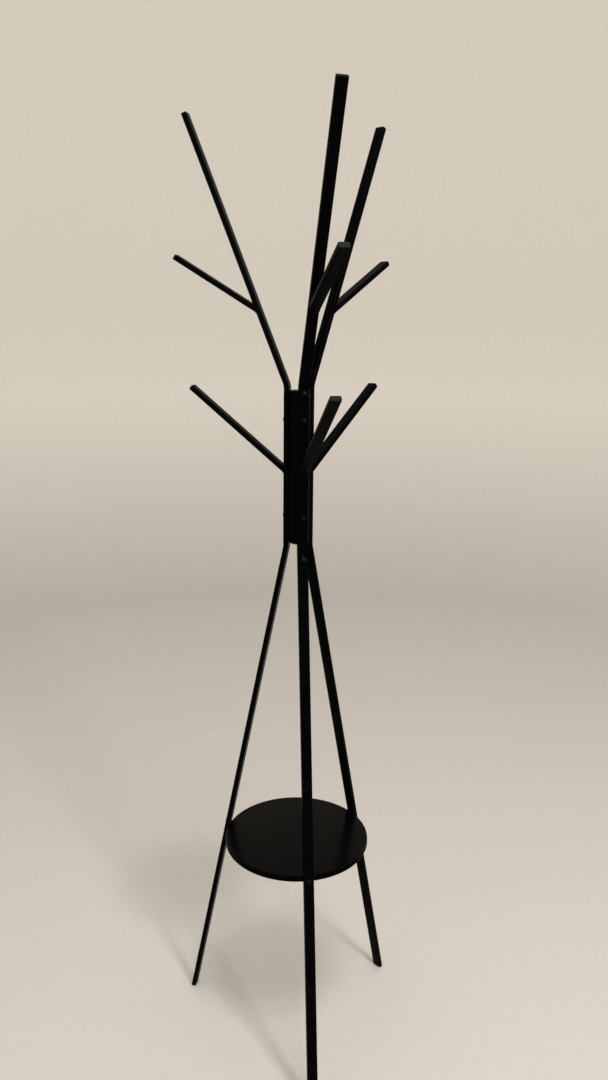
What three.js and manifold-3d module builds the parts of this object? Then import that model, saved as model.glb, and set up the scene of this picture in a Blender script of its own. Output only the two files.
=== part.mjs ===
// Free-standing coat stand: three bent uprights at 120 degrees around a short core tube,
// six welded branches, and a round shelf held between the legs.
// Millimetres, +Z up. Modelled about the core's axis, then moved so that the origin is
// the middle of the bounding box's bottom face.
import * as THREE from 'three';
import { mergeVertices } from 'three/addons/utils/BufferGeometryUtils.js';
import Module from 'manifold-3d';

const wasm = await Module();
wasm.setup();

// ---- driving dimensions ----
const GAP = 0.3; // clearance left between pieces that touch
const TUBE = { width: 20, thick: 10, corner: 1.8, wall: 1.2, crown: 0.05 };
const CORE = { radius: 19, wall: 1.5, bottom: 1076, top: 1362 };
const BAR_RADIUS = CORE.radius + GAP + TUBE.thick / 2;
const BEND = { bottom: 1066, top: 1373, radius: 34 };
const DENT = { depth: 3.6, halfLength: 19, halfWidth: 9, steps: 4, strips: 4, low: -5, high: 2 };
const ARM_TIP = { radius: 215.5, height: 1846 };
const UPPER_BRANCH = { root: 1506, tipRadius: 240, tipHeight: 1602 };
const LOWER_BRANCH = { root: 1212, tipRadius: 212.5, tipHeight: 1366 };
const FOOT = { radius: 248, offset: -34, pad: 4 }; // offset: the legs are turned a little about the axis
const SEAM_HEIGHT = 396;
const JOINER = { below: 60, above: 26 };
const SHELF = { radius: 148, top: 446, thick: 14, edge: 2.5 };
const PLUG = { head: 2.4, stem: 16, rim: 1.2 };
const HUB_SCREW = { heights: [1127, 1310], head: 4.6, rise: 2.6, shank: 2.7, hex: 2.0, tip: 12 };
const SHELF_SCREW = { height: 441, head: 3.6, rise: 1.9, shank: 1.7, hex: 1.5, reach: 14 };
const NUT = { flat: 5, outer: 16.2, inner: 11.2, bore: 3.1 };
const CAP = { head: 2.2, stem: 12, wall: 2 };

const COLOURS = {
  coat: { color: 0x0c0c0d, roughness: 0.42, metalness: 0.1 },
  shelf: { color: 0x1a1a19, roughness: 0.6, metalness: 0 },
  plastic: { color: 0x1f2020, roughness: 0.55, metalness: 0 },
  screw: { color: 0x101011, roughness: 0.35, metalness: 0.6 },
  steel: { color: 0x8d8f92, roughness: 0.4, metalness: 1 },
};

const UNITS = [
  { name: 'front', turn: 0 },
  { name: 'right', turn: 120 },
  { name: 'left', turn: -120 },
];

const group = new THREE.Group();
group.name = 'coat_stand';

// ---- helpers ----
function addMesh(name, geometry, look) {
  const mesh = new THREE.Mesh(geometry, new THREE.MeshStandardMaterial(COLOURS[look]));
  mesh.name = name;
  group.add(mesh);
}

function toManifold(geometry) {
  const bare = geometry.clone();
  bare.deleteAttribute('normal');
  bare.deleteAttribute('uv');
  const merged = mergeVertices(bare, 1e-5);
  return new wasm.Manifold(new wasm.Mesh({
    numProp: 3,
    vertProperties: new Float32Array(merged.attributes.position.array),
    triVerts: new Uint32Array(merged.index.array),
  }));
}

function fromManifold(solid) {
  const mesh = solid.getMesh();
  const geometry = new THREE.BufferGeometry();
  geometry.setAttribute('position', new THREE.BufferAttribute(mesh.vertProperties, 3));
  geometry.setIndex(new THREE.BufferAttribute(mesh.triVerts, 1));
  geometry.computeVertexNormals();
  return geometry;
}

// Cuts each tool in turn out of the body.
function cut(body, tools) {
  let solid = toManifold(body);
  for (const tool of tools) {
    solid = solid.subtract(toManifold(tool));
  }
  return fromManifold(solid);
}

// Rounded rectangle whose +y side is divided into strips and very slightly crowned.
function rectangle(width, thick, corner, arcSteps, strips = 1) {
  const points = [];
  const corners = [[1, 1, 0], [-1, 1, 90], [-1, -1, 180], [1, -1, 270]];
  const flat = width / 2 - corner;
  for (const [sx, sy, start] of corners) {
    for (let i = 0; i <= arcSteps; i += 1) {
      const a = THREE.MathUtils.degToRad(start + (90 * i) / Math.max(arcSteps, 1));
      const x = sx * flat + corner * Math.cos(a);
      const y = sy * (thick / 2 - corner) + corner * Math.sin(a);
      points.push(arcSteps > 0 ? new THREE.Vector2(x, y)
        : new THREE.Vector2((sx * width) / 2, (sy * thick) / 2));
    }
    for (let i = 1; start === 0 && i < strips; i += 1) {
      const x = flat * (1 - (2 * i) / strips);
      points.push(new THREE.Vector2(x, thick / 2 + TUBE.crown * (1 - (x / flat) ** 2)));
    }
  }
  return points;
}

// A station is a point on a path with the path's direction and the section's two axes.
function stationOn(point, tangent, across) {
  const out = new THREE.Vector3().crossVectors(across, tangent).normalize();
  const side = new THREE.Vector3().crossVectors(out, tangent);
  return { point, tangent, side, out, dent: 0, scale: [1, 1], plane: null };
}

function moved(station, distance, changes = {}) {
  const point = station.point.clone().addScaledVector(station.tangent, distance);
  return { ...station, point, ...changes };
}

// Where a point of the section lies at a station. A plane, when the station has one,
// cuts the piece there: the point slides along the path's direction until it meets it.
function atStation(station, x, y) {
  const pressed = y > 0 && Math.abs(x) < DENT.halfWidth;
  const drop = pressed ? station.dent * (1 - (x / DENT.halfWidth) ** 4) : 0;
  const p = station.point.clone()
    .addScaledVector(station.side, x * station.scale[0])
    .addScaledVector(station.out, y * station.scale[1] - drop);
  if (station.plane) {
    const { origin, normal } = station.plane;
    const distance = origin.clone().sub(p).dot(normal) / station.tangent.dot(normal);
    p.addScaledVector(station.tangent, distance);
  }
  return p;
}

// Extrudes a section in unit steps, then carries each step to its station.
function sweep(stations, outline, hole = null) {
  const shape = new THREE.Shape(outline);
  if (hole) {
    shape.holes.push(new THREE.Path(hole));
  }
  const steps = stations.length - 1;
  const geometry = new THREE.ExtrudeGeometry(shape, { depth: steps, steps, bevelEnabled: false });
  const position = geometry.attributes.position;
  for (let i = 0; i < position.count; i += 1) {
    const station = stations[Math.round(position.getZ(i))];
    const p = atStation(station, position.getX(i), position.getY(i));
    position.setXYZ(i, p.x, p.y, p.z);
  }
  geometry.computeVertexNormals();
  return geometry;
}

const BORE = { width: TUBE.width - 2 * TUBE.wall, thick: TUBE.thick - 2 * TUBE.wall };
const STEM = { width: BORE.width - 2 * GAP, thick: BORE.thick - 2 * GAP };
const TUBE_OUTLINE = rectangle(TUBE.width, TUBE.thick, TUBE.corner, 2);
const TUBE_HOLE = rectangle(BORE.width, BORE.thick, 0, 0);

function straightTube(from, to) {
  return sweep([from, to], TUBE_OUTLINE, TUBE_HOLE);
}

// A station whose section is resized to a width and a thickness.
function sized(station, width, thick, changes = {}) {
  return { ...station, scale: [width / TUBE.width, thick / TUBE.thick], ...changes };
}

// Plastic plug: a stem inside the tube and a head with a rounded rim over its end.
function endPlug(end) {
  const rows = [
    [-PLUG.stem, STEM.width - 1, STEM.thick - 1],
    [-PLUG.stem + 2, STEM.width, STEM.thick],
    [GAP, STEM.width, STEM.thick],
    [GAP, TUBE.width, TUBE.thick],
    [GAP + PLUG.head - PLUG.rim, TUBE.width, TUBE.thick],
    [GAP + PLUG.head - PLUG.rim * 0.3, TUBE.width - 0.8, TUBE.thick - 0.8],
    [GAP + PLUG.head, TUBE.width - 2 * PLUG.rim, TUBE.thick - 2 * PLUG.rim],
  ];
  return sweep(rows.map(([d, w, t]) => sized(moved(end, d), w, t)), TUBE_OUTLINE);
}

// Button-head screw along -Z: the head's seat is at z = 0, the tip at z = -length.
function screw(head, rise, shank, length, hex) {
  const profile = [
    new THREE.Vector2(0, -length),
    new THREE.Vector2(shank, -length),
    new THREE.Vector2(shank, 0),
    new THREE.Vector2(head, 0),
    new THREE.Vector2(head, rise * 0.25),
    new THREE.Vector2(head * 0.88, rise * 0.62),
    new THREE.Vector2(head * 0.62, rise * 0.9),
    new THREE.Vector2(head * 0.42, rise),
    new THREE.Vector2(0, rise),
  ];
  const body = new THREE.LatheGeometry(profile, 16);
  body.rotateX(Math.PI / 2);
  const socket = new THREE.CylinderGeometry(hex * 1.155, hex * 1.155, rise * 1.5, 6);
  socket.rotateX(Math.PI / 2);
  socket.translate(0, 0, rise * 1.05);
  return cut(body, [socket]);
}

// Turns and moves a body made along Z so that its Z axis points along a direction.
function place(geometry, point, direction) {
  const up = new THREE.Vector3(0, 0, 1);
  const turn = new THREE.Quaternion().setFromUnitVectors(up, direction.clone().normalize());
  geometry.applyQuaternion(turn);
  geometry.translate(point.x, point.y, point.z);
  return geometry;
}

function drill(radius, length, point, direction) {
  const tool = new THREE.CylinderGeometry(radius, radius, length, 12);
  tool.rotateX(Math.PI / 2);
  return place(tool, point, direction);
}

// ---- one upright with everything fixed to it ----
const shelfHoles = [];
const coreHoles = [];

function buildUnit({ name, turn }) {
  const azimuth = THREE.MathUtils.degToRad(turn);
  const radial = new THREE.Vector3(Math.sin(azimuth), -Math.cos(azimuth), 0);
  const across = new THREE.Vector3(Math.cos(azimuth), Math.sin(azimuth), 0);
  const up = new THREE.Vector3(0, 0, 1);
  const at = (radius, height, offset = 0) => new THREE.Vector3(0, 0, height)
    .addScaledVector(radial, radius)
    .addScaledVector(across, offset);

  // Centre line: foot, lower bend, upper bend, arm tip.
  const foot = at(FOOT.radius, 0, FOOT.offset);
  const low = at(BAR_RADIUS, BEND.bottom);
  const high = at(BAR_RADIUS, BEND.top);
  const tip = at(ARM_TIP.radius, ARM_TIP.height);
  const legWay = low.clone().sub(foot).normalize();
  const armWay = tip.clone().sub(high).normalize();
  const legAt = (height) => foot.clone().addScaledVector(legWay, height / legWay.z);
  const seam = legAt(SEAM_HEIGHT);
  const plugRoom = GAP + PLUG.head;
  const armEnd = moved(stationOn(tip, armWay, across), -plugRoom);

  // Stations close together through each bend, where the outer face is pressed in. The
  // hollow's middle lies a little way along the tube from the corner.
  const bendStations = (corner, before, after, middle) => {
    const reach = BEND.radius * Math.tan(before.angleTo(after) / 2);
    const from = corner.clone().addScaledVector(before, -reach);
    const to = corner.clone().addScaledVector(after, reach);
    const curve = new THREE.QuadraticBezierCurve3(from, corner, to);
    const list = [];
    for (let i = -DENT.steps; i <= DENT.steps; i += 1) {
      const s = middle + (DENT.halfLength * i) / DENT.steps;
      const t = THREE.MathUtils.clamp((s + reach) / (2 * reach), 0, 1);
      const point = curve.getPoint(t);
      if (s < -reach) {
        point.addScaledVector(before, s + reach);
      } else if (s > reach) {
        point.addScaledVector(after, s - reach);
      }
      const dent = DENT.depth * (1 - (i / DENT.steps) ** 2);
      list.push({ ...stationOn(point, curve.getTangent(t), across), dent });
    }
    return list;
  };
  const upright = sweep(
    [
      moved(stationOn(seam, legWay, across), GAP / 2),
      ...bendStations(low, legWay, up, DENT.low),
      ...bendStations(high, up, armWay, DENT.high),
      armEnd,
    ],
    rectangle(TUBE.width, TUBE.thick, TUBE.corner, 2, DENT.strips),
    rectangle(BORE.width, BORE.thick, 0.6, 1, DENT.strips),
  );

  // Screws from the outside: two into the core, one into the shelf's edge.
  const uprightHoles = [];
  HUB_SCREW.heights.forEach((height, i) => {
    const seat = at(BAR_RADIUS + TUBE.thick / 2 + GAP, height);
    uprightHoles.push(drill(HUB_SCREW.shank + 0.5, 3 * TUBE.thick, at(BAR_RADIUS, height), radial));
    coreHoles.push(drill(HUB_SCREW.shank + 0.5, 8, at(CORE.radius, height), radial));
    const length = BAR_RADIUS + TUBE.thick / 2 + GAP - HUB_SCREW.tip;
    const bolt = screw(HUB_SCREW.head, HUB_SCREW.rise, HUB_SCREW.shank, length, HUB_SCREW.hex);
    addMesh(`hub_screw_${name}_${i + 1}`, place(bolt, seat, radial), 'screw');
    const nut = new THREE.CylinderGeometry(
      NUT.flat * 1.155,
      NUT.flat * 1.155,
      NUT.outer - NUT.inner,
      6,
    );
    nut.rotateX(Math.PI / 2);
    const nutCentre = at((NUT.outer + NUT.inner) / 2, height);
    const nutBody = place(nut, nutCentre, radial);
    const thread = drill(NUT.bore, 20, nutCentre, radial);
    addMesh(`core_nut_${name}_${i + 1}`, cut(nutBody, [thread]), 'steel');
  });
  const legStation = stationOn(legAt(SHELF_SCREW.height), legWay, across);
  const screwWay = legStation.out;
  const screwSeat = legStation.point.clone().addScaledVector(screwWay, TUBE.thick / 2 + GAP);
  const screwLength = TUBE.thick + GAP + SHELF_SCREW.reach;
  uprightHoles.push(drill(SHELF_SCREW.shank + 0.5, 3 * TUBE.thick, legStation.point, screwWay));
  const pilotEnd = screwSeat.clone().addScaledVector(screwWay, -screwLength - 1);
  const pilotMiddle = pilotEnd.clone().addScaledVector(screwWay, 12);
  shelfHoles.push(drill(SHELF_SCREW.shank + 0.3, 24, pilotMiddle, screwWay));
  addMesh(`shelf_screw_${name}`, place(
    screw(SHELF_SCREW.head, SHELF_SCREW.rise, SHELF_SCREW.shank, screwLength, SHELF_SCREW.hex),
    screwSeat,
    screwWay,
  ), 'screw');
  addMesh(`upright_${name}`, cut(upright, uprightHoles), 'coat');
  addMesh(`arm_plug_${name}`, endPlug(armEnd), 'plastic');

  // Lower leg: joined at the seam by an inner bar, cut level above its foot pad.
  const legTop = moved(stationOn(seam, legWay, across), -GAP / 2);
  const legEnd = stationOn(foot, legWay, across);
  const level = (height) => ({ plane: { origin: at(0, height), normal: up } });
  addMesh(`lower_leg_${name}`, straightTube(moved(legEnd, 0, level(FOOT.pad + GAP)), legTop), 'coat');
  const joiner = [-JOINER.below, JOINER.above].map((d) => {
    return sized(moved(legTop, d), STEM.width, STEM.thick);
  });
  addMesh(`leg_joiner_${name}`, sweep(joiner, TUBE_OUTLINE), 'steel');
  const padRows = [
    [0, TUBE.width - 1.2, TUBE.thick - 1.2],
    [0.8, TUBE.width, TUBE.thick],
    [FOOT.pad, TUBE.width, TUBE.thick],
    [FOOT.pad, STEM.width, STEM.thick],
    [FOOT.pad + PLUG.stem, STEM.width, STEM.thick],
  ];
  const pad = padRows.map(([height, w, t]) => sized(legEnd, w, t, level(height)));
  addMesh(`foot_pad_${name}`, sweep(pad, TUBE_OUTLINE), 'plastic');

  // Branches, cut to lie against the outer face that carries them.
  const addBranch = (label, root, faceNormal, branch) => {
    const end = at(branch.tipRadius, branch.tipHeight);
    const way = end.clone().sub(root).normalize();
    const facePoint = root.clone().addScaledVector(faceNormal, TUBE.thick / 2 + GAP);
    const onFace = { plane: { origin: facePoint, normal: faceNormal } };
    const start = moved(stationOn(root, way, across), 0, onFace);
    const stop = moved(stationOn(end, way, across), -plugRoom);
    addMesh(`${label}_branch_${name}`, straightTube(start, stop), 'coat');
    addMesh(`${label}_branch_plug_${name}`, endPlug(stop), 'plastic');
  };
  const armShare = (UPPER_BRANCH.root - BEND.top) / (ARM_TIP.height - BEND.top);
  const armFace = new THREE.Vector3().crossVectors(across, armWay);
  addBranch('upper', high.clone().lerp(tip, armShare), armFace, UPPER_BRANCH);
  addBranch('lower', at(BAR_RADIUS, LOWER_BRANCH.root), radial, LOWER_BRANCH);
}

UNITS.forEach(buildUnit);

// ---- core tube and its caps ----
const coreProfile = [
  new THREE.Vector2(CORE.radius - CORE.wall, CORE.bottom),
  new THREE.Vector2(CORE.radius, CORE.bottom),
  new THREE.Vector2(CORE.radius, CORE.top),
  new THREE.Vector2(CORE.radius - CORE.wall, CORE.top),
  new THREE.Vector2(CORE.radius - CORE.wall, CORE.bottom),
];
const core = new THREE.LatheGeometry(coreProfile, 40);
core.rotateX(Math.PI / 2);
addMesh('core_tube', cut(core, coreHoles), 'coat');

function coreCap(end, sign) {
  const bore = CORE.radius - CORE.wall - GAP;
  const rows = [
    [0, GAP + CAP.head],
    [CORE.radius - 2.4, GAP + CAP.head],
    [CORE.radius - 1.2, GAP + CAP.head - 0.4],
    [CORE.radius - 0.3, GAP + 1],
    [CORE.radius - 0.3, GAP],
    [bore, GAP],
    [bore, -CAP.stem],
    [bore - CAP.wall, -CAP.stem],
    [bore - CAP.wall, GAP],
    [0, GAP],
  ];
  const profile = rows.map(([r, z]) => new THREE.Vector2(r, end + sign * z));
  if (sign > 0) {
    profile.reverse();
  }
  const cap = new THREE.LatheGeometry(profile, 24);
  cap.rotateX(Math.PI / 2);
  return cap;
}
addMesh('core_cap_top', coreCap(CORE.top, 1), 'plastic');
addMesh('core_cap_bottom', coreCap(CORE.bottom, -1), 'plastic');

// ---- shelf ----
const under = SHELF.top - SHELF.thick;
const edgePoint = (middle, start, step) => {
  const a = THREE.MathUtils.degToRad(start + 45 * step);
  return new THREE.Vector2(
    SHELF.radius - SHELF.edge + SHELF.edge * Math.cos(a),
    middle + SHELF.edge * Math.sin(a),
  );
};
const shelfProfile = [
  new THREE.Vector2(0, under),
  ...[0, 1, 2].map((i) => edgePoint(under + SHELF.edge, -90, i)),
  ...[0, 1, 2].map((i) => edgePoint(SHELF.top - SHELF.edge, 0, i)),
  new THREE.Vector2(0, SHELF.top),
];
const shelf = new THREE.LatheGeometry(shelfProfile, 64);
shelf.rotateX(Math.PI / 2);
addMesh('shelf', cut(shelf, shelfHoles), 'shelf');

// ---- origin at the middle of the bottom of the bounding box ----
const box = new THREE.Box3().setFromObject(group);
const middle = box.getCenter(new THREE.Vector3());
group.children.forEach((mesh) => mesh.geometry.translate(-middle.x, -middle.y, -box.min.z));

export default group;
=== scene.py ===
"""Black coat stand with three bent uprights and a round shelf, dressed for rendering."""

import math

import bmesh
import bpy
from mathutils import Matrix, Vector


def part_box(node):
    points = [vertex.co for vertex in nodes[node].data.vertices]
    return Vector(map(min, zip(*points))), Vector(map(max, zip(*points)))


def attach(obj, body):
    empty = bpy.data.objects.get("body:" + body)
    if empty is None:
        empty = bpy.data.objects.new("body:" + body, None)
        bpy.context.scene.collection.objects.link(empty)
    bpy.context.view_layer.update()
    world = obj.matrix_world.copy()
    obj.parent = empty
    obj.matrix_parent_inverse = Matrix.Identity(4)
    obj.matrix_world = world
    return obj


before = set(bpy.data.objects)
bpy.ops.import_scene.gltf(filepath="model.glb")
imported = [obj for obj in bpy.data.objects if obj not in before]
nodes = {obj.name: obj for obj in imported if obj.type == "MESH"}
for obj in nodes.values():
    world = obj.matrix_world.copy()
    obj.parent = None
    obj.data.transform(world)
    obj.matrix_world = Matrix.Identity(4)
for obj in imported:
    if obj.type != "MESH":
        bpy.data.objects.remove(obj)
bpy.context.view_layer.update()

# ---- sizes, in metres and degrees ----
UNITS = {"front": 0, "right": 120, "left": -120}
TUBE_WIDTH = 0.020

# Shading of the CAD nodes: facets closer than FACET_GAP are joined, edges sharper than CREASE stay
# crisp, and the shelf's faces whose normals rise less than RIM_RISE are its rim, darkened as painted
# shade.
FACET_GAP = 0.00001
CREASE = 38
PRESSED_CREASE = 70
RIM_RISE = 0.2

WELD_RADIUS = 0.0011
WELD_POINTS = 72
WELD_ROUNDING = 0.35
WELD_INSET = 0.0002
RIPPLE = 0.16
RIPPLE_STEP = 2.4
ROOT_REACH = 0.05
ROOT_MARGIN = 0.0005

FLOOR_RADIUS = 3.2
FLOOR_SIDES = 96
FLOOR_GAP = 0.0005
COVE = 1.6
COVE_STEPS = 12
WALL_HEIGHT = 6.5

LIGHT_TARGET = (0, 0, 1.1)

CAMERA_TURN = -16.05
CAMERA_DISTANCE = 1.651
CAMERA_HEIGHT = 1.477
CAMERA_DOWN = 13.56
CAMERA_SIDE = -0.34
CAMERA_ROLL = 0.54
CAMERA_LENS = 19.57
SENSOR_HEIGHT = 24.0

core_low, core_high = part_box("core_tube")
AXIS = (core_low + core_high) / 2
AXIS.z = 0.0


# ---- node helpers ----
def new_material(name, roughness=0.5, metallic=0.0, specular=0.5):
    """A material with its shader and object coordinates, and a helper that adds nodes to it."""
    material = bpy.data.materials.new(name)
    material.use_nodes = True
    tree = material.node_tree
    shader = tree.nodes["Principled BSDF"]
    shader.inputs["Roughness"].default_value = roughness
    shader.inputs["Metallic"].default_value = metallic
    shader.inputs["Specular IOR Level"].default_value = specular
    coords = tree.nodes.new("ShaderNodeTexCoord")

    def add(kind, **values):
        node = tree.nodes.new(kind)
        for key, value in values.items():
            if key in node.inputs:
                node.inputs[key].default_value = value
            else:
                setattr(node, key, value)
        return node

    return material, tree.links, shader, coords, add


def noise(add, links, coords, scale, detail=4.0, roughness=0.6):
    """Noise in object space, with about scale cells to the metre."""
    node = add("ShaderNodeTexNoise", Scale=scale, Detail=detail, Roughness=roughness)
    links.new(coords.outputs["Object"], node.inputs["Vector"])
    return node.outputs["Fac"]


def ramp(add, links, source, stops):
    """Colour ramp from (position, colour) pairs."""
    node = add("ShaderNodeValToRGB")
    elements = node.color_ramp.elements
    while len(elements) < len(stops):
        elements.new(0.5)
    for element, (position, colour) in zip(elements, stops):
        element.position = position
        element.color = (*colour, 1.0)
    links.new(source, node.inputs["Fac"])
    return node.outputs["Color"]


def remap(add, links, source, low, high):
    """Carries a 0 to 1 value to a range."""
    node = add("ShaderNodeMapRange")
    node.inputs["To Min"].default_value = low
    node.inputs["To Max"].default_value = high
    links.new(source, node.inputs["Value"])
    return node.outputs["Result"]


def mix_colours(add, links, factor, first, second, blend="MIX"):
    """Blends two colours, each a tuple or a socket."""
    node = add("ShaderNodeMix", data_type="RGBA", blend_type=blend)
    links.new(factor, node.inputs[0])
    for socket, value in ((node.inputs[6], first), (node.inputs[7], second)):
        if isinstance(value, tuple):
            socket.default_value = (*value, 1.0)
        else:
            links.new(value, socket)
    return node.outputs[2]


def bump(add, links, shader, layers):
    """Chains (height, strength, distance) layers into the shader's normal."""
    previous = None
    for height, strength, distance in layers:
        node = add("ShaderNodeBump", Strength=strength, Distance=distance)
        links.new(height, node.inputs["Height"])
        if previous:
            links.new(previous, node.inputs["Normal"])
        previous = node.outputs["Normal"]
    links.new(previous, shader.inputs["Normal"])


def edge_wear(add, links, coords):
    """1 on sharp edges that the coating has worn from, broken up by noise."""
    geometry = add("ShaderNodeNewGeometry")
    edge = ramp(add, links, geometry.outputs["Pointiness"],
                [(0.53, (0, 0, 0)), (0.62, (1, 1, 1))])
    patches = ramp(add, links, noise(add, links, coords, 160.0, 6.0, 0.7),
                   [(0.55, (0, 0, 0)), (0.72, (1, 1, 1))])
    both = add("ShaderNodeMath", operation="MULTIPLY")
    links.new(edge, both.inputs[0])
    links.new(patches, both.inputs[1])
    return both.outputs[0]


# ---- materials ----
def powder_coat():
    """Satin black powder coat: fine orange peel, faint dust and paler, rubbed edges."""
    base = (0.0003, 0.0004, 0.0005)
    material, links, shader, coords, add = new_material("powder_coat", specular=0.015)
    cloud = noise(add, links, coords, 9.0, 5.0)
    tint = ramp(add, links, cloud, [(0.3, base), (0.75, tuple(c * 1.6 for c in base))])
    dust = ramp(add, links, noise(add, links, coords, 900.0, 2.0),
                [(0.68, (0, 0, 0)), (0.78, (1, 1, 1))])
    dusted = mix_colours(add, links, dust, tint, (0.003, 0.003, 0.003))
    worn = mix_colours(add, links, edge_wear(add, links, coords), dusted, (0.007, 0.007, 0.0072))
    links.new(worn, shader.inputs["Base Color"])
    links.new(remap(add, links, cloud, 0.24, 0.36), shader.inputs["Roughness"])
    bump(add, links, shader, [
        (noise(add, links, coords, 260.0, 2.0), 0.05, 0.0003),
        (noise(add, links, coords, 1400.0, 2.0), 0.05, 0.0001),
    ])
    return material


def shelf_finish():
    """Black laminated board: finely pebbled, matte, with faint scuffs from things stood on it."""
    material, links, shader, coords, add = new_material("shelf_finish", specular=0.034)
    cloud = noise(add, links, coords, 14.0, 5.0)
    tint = ramp(add, links, cloud, [(0.3, (0.0002, 0.0004, 0.0003)), (0.75, (0.0006, 0.0008, 0.0007))])
    mapping = add("ShaderNodeMapping")
    mapping.inputs["Rotation"].default_value = (0, 0, math.radians(28))
    mapping.inputs["Scale"].default_value = (6.0, 90.0, 20.0)
    links.new(coords.outputs["Object"], mapping.inputs["Vector"])
    streak = add("ShaderNodeTexNoise", Scale=3.0, Detail=6.0, Roughness=0.7)
    links.new(mapping.outputs["Vector"], streak.inputs["Vector"])
    scuffs = ramp(add, links, streak.outputs["Fac"], [(0.66, (0, 0, 0)), (0.76, (1, 1, 1))])
    scuffed = mix_colours(add, links, scuffs, tint, (0.0013, 0.0015, 0.0014))
    worn = mix_colours(add, links, edge_wear(add, links, coords), scuffed, (0.02, 0.021, 0.02))
    links.new(worn, shader.inputs["Base Color"])
    links.new(remap(add, links, streak.outputs["Fac"], 0.21, 0.25), shader.inputs["Roughness"])
    cells = add("ShaderNodeTexVoronoi", Scale=700.0)
    links.new(coords.outputs["Object"], cells.inputs["Vector"])
    bump(add, links, shader, [
        (cells.outputs["Distance"], 0.03, 0.0001),
        (noise(add, links, coords, 60.0, 3.0), 0.006, 0.001),
    ])
    return material


def edge_band_and_painted_shade():
    """Matte black plastic band glued round the board, fainter in grain than its faces; its low reflection
    also darkens the rim as painted shade, standing in for the shade of the dark floor it faces.
    """
    # The low specular level is painted shade on the rim, on top of the band's own matte finish.
    material, links, shader, coords, add = new_material("edge_band_and_painted_shade", specular=0.01)
    cloud = noise(add, links, coords, 40.0, 4.0)
    tint = ramp(add, links, cloud, [(0.3, (0.0003, 0.0003, 0.0003)), (0.75, (0.0007, 0.0007, 0.0007))])
    rubs = ramp(add, links, noise(add, links, coords, 220.0, 5.0, 0.7),
                [(0.66, (0, 0, 0)), (0.76, (1, 1, 1))])
    links.new(mix_colours(add, links, rubs, tint, (0.002, 0.002, 0.002)), shader.inputs["Base Color"])
    links.new(remap(add, links, cloud, 0.5, 0.62), shader.inputs["Roughness"])
    bump(add, links, shader, [(noise(add, links, coords, 900.0, 2.0), 0.08, 0.0002)])
    return material


def moulded_plastic():
    """Dark grey moulded plastic with a light spark-eroded texture."""
    material, links, shader, coords, add = new_material("moulded_plastic", specular=0.06)
    cloud = noise(add, links, coords, 60.0, 4.0)
    tint = ramp(add, links, cloud,
                [(0.3, (0.0042, 0.0047, 0.005)), (0.75, (0.0062, 0.0068, 0.0071))])
    worn = mix_colours(add, links, edge_wear(add, links, coords), tint, (0.03, 0.03, 0.031))
    links.new(worn, shader.inputs["Base Color"])
    links.new(remap(add, links, cloud, 0.44, 0.6), shader.inputs["Roughness"])
    bump(add, links, shader, [(noise(add, links, coords, 1100.0, 3.0), 0.2, 0.0003)])
    return material


def blackened_screw():
    """Black oxide screw: slightly metallic, with brighter rubbed rims."""
    material, links, shader, coords, add = new_material("blackened_screw", 0.4, metallic=0.6, specular=0.1)
    tint = ramp(add, links, noise(add, links, coords, 300.0, 4.0),
                [(0.3, (0.003, 0.003, 0.0035)), (0.75, (0.006, 0.006, 0.0065))])
    worn = mix_colours(add, links, edge_wear(add, links, coords), tint, (0.022, 0.022, 0.022))
    links.new(worn, shader.inputs["Base Color"])
    bump(add, links, shader, [(noise(add, links, coords, 1800.0, 2.0), 0.12, 0.0002)])
    return material


def zinc_steel():
    """Zinc plated steel with a faint drawn grain."""
    material, links, shader, coords, add = new_material("zinc_steel", metallic=1.0)
    mapping = add("ShaderNodeMapping")
    mapping.inputs["Scale"].default_value = (900.0, 900.0, 30.0)
    links.new(coords.outputs["Object"], mapping.inputs["Vector"])
    grain = add("ShaderNodeTexNoise", Scale=1.0, Detail=5.0)
    links.new(mapping.outputs["Vector"], grain.inputs["Vector"])
    tint = ramp(add, links, grain.outputs["Fac"], [(0.3, (0.42, 0.43, 0.44)), (0.7, (0.58, 0.59, 0.6))])
    links.new(tint, shader.inputs["Base Color"])
    links.new(remap(add, links, grain.outputs["Fac"], 0.28, 0.44), shader.inputs["Roughness"])
    bump(add, links, shader, [(grain.outputs["Fac"], 0.1, 0.0002)])
    return material


def floor_finish():
    """Plain pale floor with a faint grain, a shade darker underfoot than up the wall."""
    material, links, shader, coords, add = new_material("pale_floor", 0.8, specular=0.1)
    split = add("ShaderNodeSeparateXYZ")
    links.new(coords.outputs["Object"], split.inputs["Vector"])
    shade = ramp(add, links, split.outputs["Z"],
                 [(0.0, (0.46, 0.443, 0.415)), (1.0, (0.68, 0.655, 0.612))])
    grain = ramp(add, links, noise(add, links, coords, 55.0, 3.0),
                 [(0.45, (0, 0, 0)), (0.9, (1, 1, 1))])
    links.new(mix_colours(add, links, grain, shade, (0.94, 0.94, 0.94), "MULTIPLY"),
              shader.inputs["Base Color"])
    return material


COAT = powder_coat()
SHELF = shelf_finish()
PLASTIC = moulded_plastic()
SCREW = blackened_screw()
STEEL = zinc_steel()


def look_of(name):
    """The material that a CAD node takes, from its name."""
    if "screw" in name:
        return SCREW
    if "nut" in name or "joiner" in name:
        return STEEL
    if any(word in name for word in ("plug", "pad", "cap")):
        return PLASTIC
    if name == "shelf":
        return SHELF
    return COAT


def smooth_over(piece, crease):
    """Shades across a node's facets, which share no vertices, and keeps edges past the crease crisp."""
    joined = piece.modifiers.new("join_facets", "WELD")
    joined.merge_threshold = FACET_GAP
    creased = piece.modifiers.new("crease", "EDGE_SPLIT")
    creased.split_angle = math.radians(crease)
    creased.use_edge_sharp = False
    piece.modifiers.new("even_normals", "WEIGHTED_NORMAL")


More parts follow.
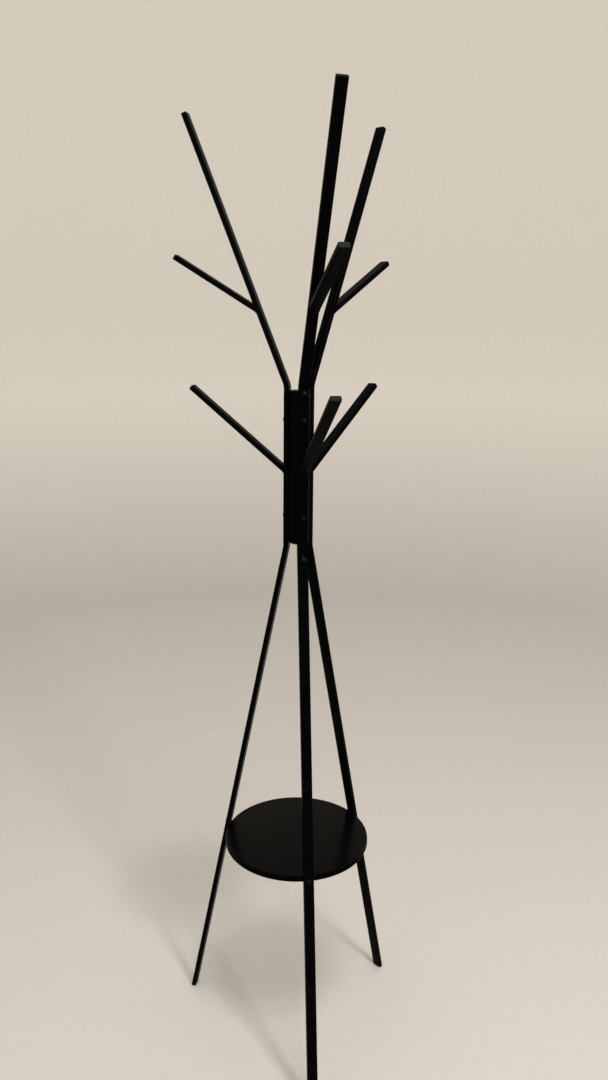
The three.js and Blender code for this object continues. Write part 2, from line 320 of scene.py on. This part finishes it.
def dress_nodes():
    """Gives every CAD node its material and smooth shading with crisp edges, and bands the shelf's rim in
    a darker finish that is partly painted shade.
    """
    for name, node in nodes.items():
        node.data.materials.clear()
        node.data.materials.append(look_of(name))
        node.data.shade_smooth()
        smooth_over(node, PRESSED_CREASE if name.startswith("upright") else CREASE)
    board = nodes["shelf"].data
    board.materials.append(edge_band_and_painted_shade())
    # The rim faces take the band finish: a real edge band, kept darker as painted shade for the dark floor
    # they face.
    for face in board.polygons:
        if abs(face.normal.z) < RIM_RISE:
            face.material_index = 1


# ---- welds round the branch roots ----
def directions(unit):
    """A unit's outward direction and its direction across, both level."""
    turn = math.radians(UNITS[unit])
    radial = Vector((math.sin(turn), -math.cos(turn), 0))
    across = Vector((math.cos(turn), math.sin(turn), 0))
    return radial, across


def root_points(branch, radial):
    """The vertices of a branch's mitred end, the one farther from its tip."""
    points = [v.co.copy() for v in nodes[branch].data.vertices]
    tip = max(points, key=lambda p: (p - AXIS).dot(radial))
    farthest = max(points, key=lambda p: (p - tip).length)
    return [p for p in points if (p - farthest).length < ROOT_REACH]


def rounded(value):
    """Pushes a sine or cosine outwards, so that a circle becomes a rounded rectangle."""
    return math.copysign(abs(value) ** WELD_ROUNDING, value)


def weld_path(branch, unit):
    """Points round a branch's mitred end, in order."""
    radial, across = directions(unit)
    root = root_points(branch, radial)
    centre = sum(root, Vector()) / len(root)
    rim = [p for p in root if abs((p - centre).dot(across)) < TUBE_WIDTH / 2 + ROOT_MARGIN]
    along = (max(rim, key=lambda p: p.z) - min(rim, key=lambda p: p.z)).normalized()
    spans = [(p - centre).dot(along) for p in rim]
    middle = centre + along * (max(spans) + min(spans)) / 2
    half_length = along * (max(spans) - min(spans)) / 2
    half_width = across * (TUBE_WIDTH / 2 - WELD_INSET)
    angles = [2 * math.pi * i / WELD_POINTS for i in range(WELD_POINTS)]
    return [
        middle + half_length * rounded(math.cos(a)) + half_width * rounded(math.sin(a))
        for a in angles
    ]


def add_weld(branch, unit):
    """A rippled fillet bead that follows the branch's mitred end."""
    path = weld_path(branch, unit)
    curve = bpy.data.curves.new(f"weld_{branch}", "CURVE")
    curve.dimensions = "3D"
    curve.bevel_depth = WELD_RADIUS
    curve.bevel_resolution = 3
    spline = curve.splines.new("POLY")
    spline.points.add(len(path) - 1)
    for i, (point, place) in enumerate(zip(spline.points, path)):
        point.co = (*place, 1.0)
        point.radius = 1.0 + RIPPLE * math.sin(i * RIPPLE_STEP)
    spline.use_cyclic_u = True
    weld = bpy.data.objects.new(f"weld_{branch}", curve)
    bpy.context.scene.collection.objects.link(weld)
    curve.materials.append(COAT)
    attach(weld, "root")


# ---- stage ----
def add_floor():
    """A pale round floor that curves up into a plain wall all the way round."""
    profile = [(FLOOR_RADIUS / 2, 0.0), (FLOOR_RADIUS, 0.0)]
    for i in range(1, COVE_STEPS + 1):
        angle = math.pi / 2 * i / COVE_STEPS
        profile.append((FLOOR_RADIUS + COVE * math.sin(angle), COVE * (1 - math.cos(angle))))
    profile.append((FLOOR_RADIUS + COVE, WALL_HEIGHT))
    floor_mesh = bpy.data.meshes.new("floor")
    work = bmesh.new()
    rows = []
    for radius, height in profile:
        ring = []
        for i in range(FLOOR_SIDES):
            angle = 2 * math.pi * i / FLOOR_SIDES
            ring.append(work.verts.new((radius * math.cos(angle), radius * math.sin(angle), height)))
        rows.append(ring)
    work.faces.new(rows[0])
    for lower, upper in zip(rows, rows[1:]):
        for i in range(FLOOR_SIDES):
            j = (i + 1) % FLOOR_SIDES
            work.faces.new((lower[i], upper[i], upper[j], lower[j]))
    work.to_mesh(floor_mesh)
    work.free()
    floor_mesh.materials.append(floor_finish())
    floor_mesh.shade_smooth()
    floor = bpy.data.objects.new("floor", floor_mesh)
    floor.location.z = -FLOOR_GAP
    bpy.context.scene.collection.objects.link(floor)


def add_light(name, place, size, power, colour):
    """A soft rectangular light aimed at the middle of the stand."""
    data = bpy.data.lights.new(name, "AREA")
    data.shape = "RECTANGLE"
    data.size, data.size_y = size
    data.energy = power
    data.color = colour
    light = bpy.data.objects.new(name, data)
    light.location = place
    aim = Vector(LIGHT_TARGET) - Vector(place)
    light.rotation_euler = aim.to_track_quat("-Z", "Y").to_euler()
    bpy.context.scene.collection.objects.link(light)


def add_lights():
    """A warm key above the camera that the hollows catch, a weak fill, and light from overhead."""
    add_light("key", (0.85, -2.9, 2.8), (0.56, 0.56), 85.0, (1.0, 0.96, 0.9))
    add_light("fill", (-2.6, -1.8, 2.0), (1.8, 2.2), 14.0, (0.98, 0.97, 1.0))
    add_light("top", (0.1, -1.6, 4.3), (1.0, 1.0), 90.0, (1.0, 0.98, 0.95))


def add_world():
    """Even, slightly warm light from all round, shown without a film curve."""
    world = bpy.data.worlds.new("world")
    world.use_nodes = True
    background = world.node_tree.nodes["Background"]
    background.inputs["Color"].default_value = (1.0, 0.955, 0.9, 1.0)
    background.inputs["Strength"].default_value = 1.15
    bpy.context.scene.world = world
    bpy.context.scene.view_settings.view_transform = "Standard"


def add_camera():
    """A camera at standing eye height, close to the stand and looking slightly down."""
    turn = math.radians(CAMERA_TURN)
    data = bpy.data.cameras.new("camera")
    data.sensor_fit = "VERTICAL"
    data.sensor_height = SENSOR_HEIGHT
    data.lens = CAMERA_LENS
    camera = bpy.data.objects.new("camera", data)
    place = AXIS + Vector((math.sin(turn), -math.cos(turn), 0)) * CAMERA_DISTANCE
    place.z = CAMERA_HEIGHT
    heading = Matrix.Rotation(turn + math.radians(CAMERA_SIDE), 4, "Z")
    pitch = Matrix.Rotation(math.radians(90 - CAMERA_DOWN), 4, "X")
    roll = Matrix.Rotation(math.radians(CAMERA_ROLL), 4, "Z")
    camera.matrix_world = Matrix.Translation(place) @ heading @ pitch @ roll
    bpy.context.scene.collection.objects.link(camera)
    bpy.context.scene.camera = camera


add_camera()
dress_nodes()
for unit_name in UNITS:
    for level in ("upper", "lower"):
        add_weld(f"{level}_branch_{unit_name}", unit_name)
add_floor()
add_lights()
add_world()
